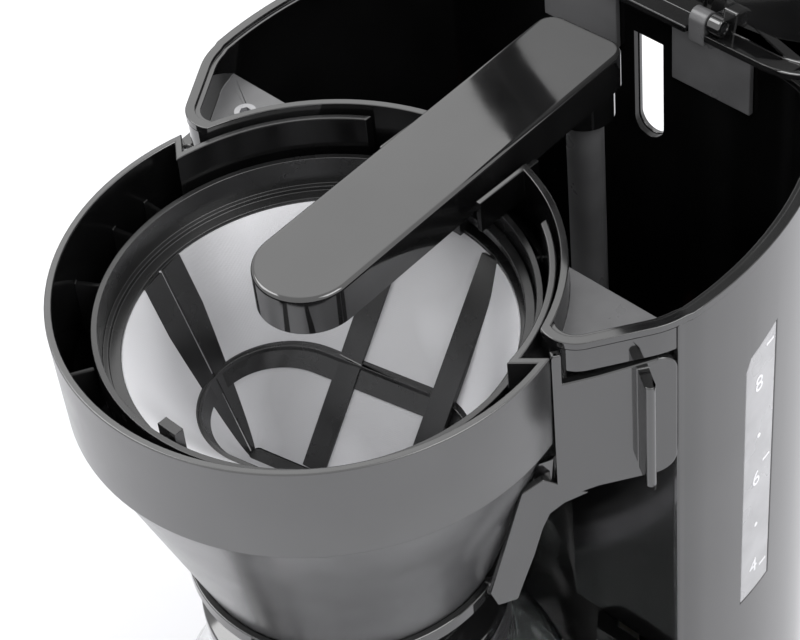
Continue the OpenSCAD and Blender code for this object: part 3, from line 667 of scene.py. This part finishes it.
# Web that runs down from the handle plate in the plate's own plane, with a waved right edge
print("handle web")
web = {"x": 73.7, "y": 18.2, "turn": 55.0, "thickness": 2.5, "clearance": 0.02,
       "right": [(8.0, -57.2), (0.9, -59.6), (-3.3, -62.9), (-5.6, -68.3), (-8.7, -79.8), (-12.9, -92.9),
                 (-14.4, -98)],
       "left": [(-20.5, -99), (-22.5, -93), (-17.2, -74.1), (-13.4, -59.8), (-11.2, -52), (-5, -48)]}
along = Vector((math.cos(math.radians(web["turn"])), math.sin(math.radians(web["turn"]))))
inward = Vector((-along.y, along.x))
webRings = [[at(web["x"] + along.x * s + inward.x * depth, web["y"] + along.y * s + inward.y * depth,
                rimZ / mm + z) for s, z in web["right"] + web["left"]]
            for depth in (web["clearance"], web["thickness"] - web["clearance"])]
roundEdges(putPiece("handle_web", loft(webRings), "swing_frame"), 0.5)

print("jug handle")
handleLow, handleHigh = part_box("jug_handle")
grip = {"width": 17.0, "thickness": 11.5, "corner": 4.5, "bend": 17.0,
        "topY": -49.5, "lowY": -68.0, "lean": 2.0, "topGap": 2.0}
gripFront = (handleLow.y - brewY) / mm + grip["thickness"] / 2
gripTop = handleHigh.z / mm - grip["topGap"] - grip["thickness"] / 2
gripLow = handleLow.z / mm + grip["thickness"] / 2
handlePath = roundedPath([(grip["topY"], gripTop), (gripFront, gripTop),
                          (gripFront + grip["lean"], gripLow), (grip["lowY"], gripLow)], grip["bend"])
handleShape = sweptBar(handlePath, grip["width"], grip["thickness"], grip["corner"])
handlePiece = putPiece("jug_handle_grip", handleShape, "jug_handle")
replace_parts(handlePiece, "jug_handle")

# CAD nodes that still show keep their own mesh and only get a finish
print("other nodes")
for node, shown in cad.items():
    if not shown.hide_render:
        shown.data.materials.clear()
        shown.data.materials.append(finishes[slotOf[node]])

print("stage")
studio = {"floor": 0.82, "world": 1.1, "floorSize": 6.0}
floorMesh = bpy.data.meshes.new("floor")
half = studio["floorSize"] / 2
floorCorners = [(-half, -half, 0), (half, -half, 0), (half, half, 0), (-half, half, 0)]
floorMesh.from_pydata(floorCorners, [], [(0, 1, 2, 3)])
floor = bpy.data.objects.new("floor", floorMesh)
bpy.context.scene.collection.objects.link(floor)
floorFinish, _, floorShader = blankFinish("studio_floor", 0.8)
floorShader.inputs["Base Color"].default_value = (*grey(studio["floor"]), 1)
floorMesh.materials.append(floorFinish)

world = bpy.data.worlds.new("studio")
bpy.context.scene.world = world
world.use_nodes = True
world.node_tree.nodes["Background"].inputs["Color"].default_value = (1, 1, 1, 1)
world.node_tree.nodes["Background"].inputs["Strength"].default_value = studio["world"]


# A square lamp at place, facing a point above the origin; lengths in metres
def softbox(name, place, aimHeight, size, power):
    light = bpy.data.lights.new(name, "AREA")
    light.shape = "RECTANGLE"
    light.size, light.size_y = size, size
    light.energy = power
    lamp = bpy.data.objects.new(name, light)
    lamp.location = place
    aim = Vector((0, 0, aimHeight))
    lamp.rotation_euler = (aim - Vector(place)).to_track_quat("-Z", "Y").to_euler()
    bpy.context.scene.collection.objects.link(lamp)


softbox("rearSoftbox", (-1.1, 1.1, 1.6), aimHeight=0.3, size=1.4, power=4)
softbox("leftSoftbox", (-1.2, -0.4, 1.7), aimHeight=0.28, size=1.0, power=14)
softbox("rightSoftbox", (1.2, 0.2, 1.7), aimHeight=0.28, size=1.0, power=14)

# Camera: angles in degrees, lengths in millimetres, aimed past the rim's centre
view = {"azimuth": 48.35, "elevation": 44.65, "roll": -6.43, "distance": 681.8,
        "aside": 24.57, "down": 13.18, "lens": 110.46}
azimuth, elevation, roll = (math.radians(view[k]) for k in ("azimuth", "elevation", "roll"))
back = Vector((math.sin(azimuth) * math.cos(elevation), -math.cos(azimuth) * math.cos(elevation),
               math.sin(elevation)))
level = Vector((math.cos(azimuth), math.sin(azimuth), 0))
upright = back.cross(level)
right = math.cos(roll) * level + math.sin(roll) * upright
above = -math.sin(roll) * level + math.cos(roll) * upright
eye = at(0, 0, rimZ / mm) + (right * view["aside"] - above * view["down"] + back * view["distance"]) * mm
camera = bpy.data.objects.new("camera", bpy.data.cameras.new("camera"))
camera.data.lens = view["lens"]
camera.data.clip_start = 0.01
camera.matrix_world = Matrix((
    (right.x, above.x, back.x, eye.x),
    (right.y, above.y, back.y, eye.y),
    (right.z, above.z, back.z, eye.z),
    (0, 0, 0, 1)))
bpy.context.scene.collection.objects.link(camera)
bpy.context.scene.camera = camera
bpy.context.scene.view_settings.view_transform = "Standard"
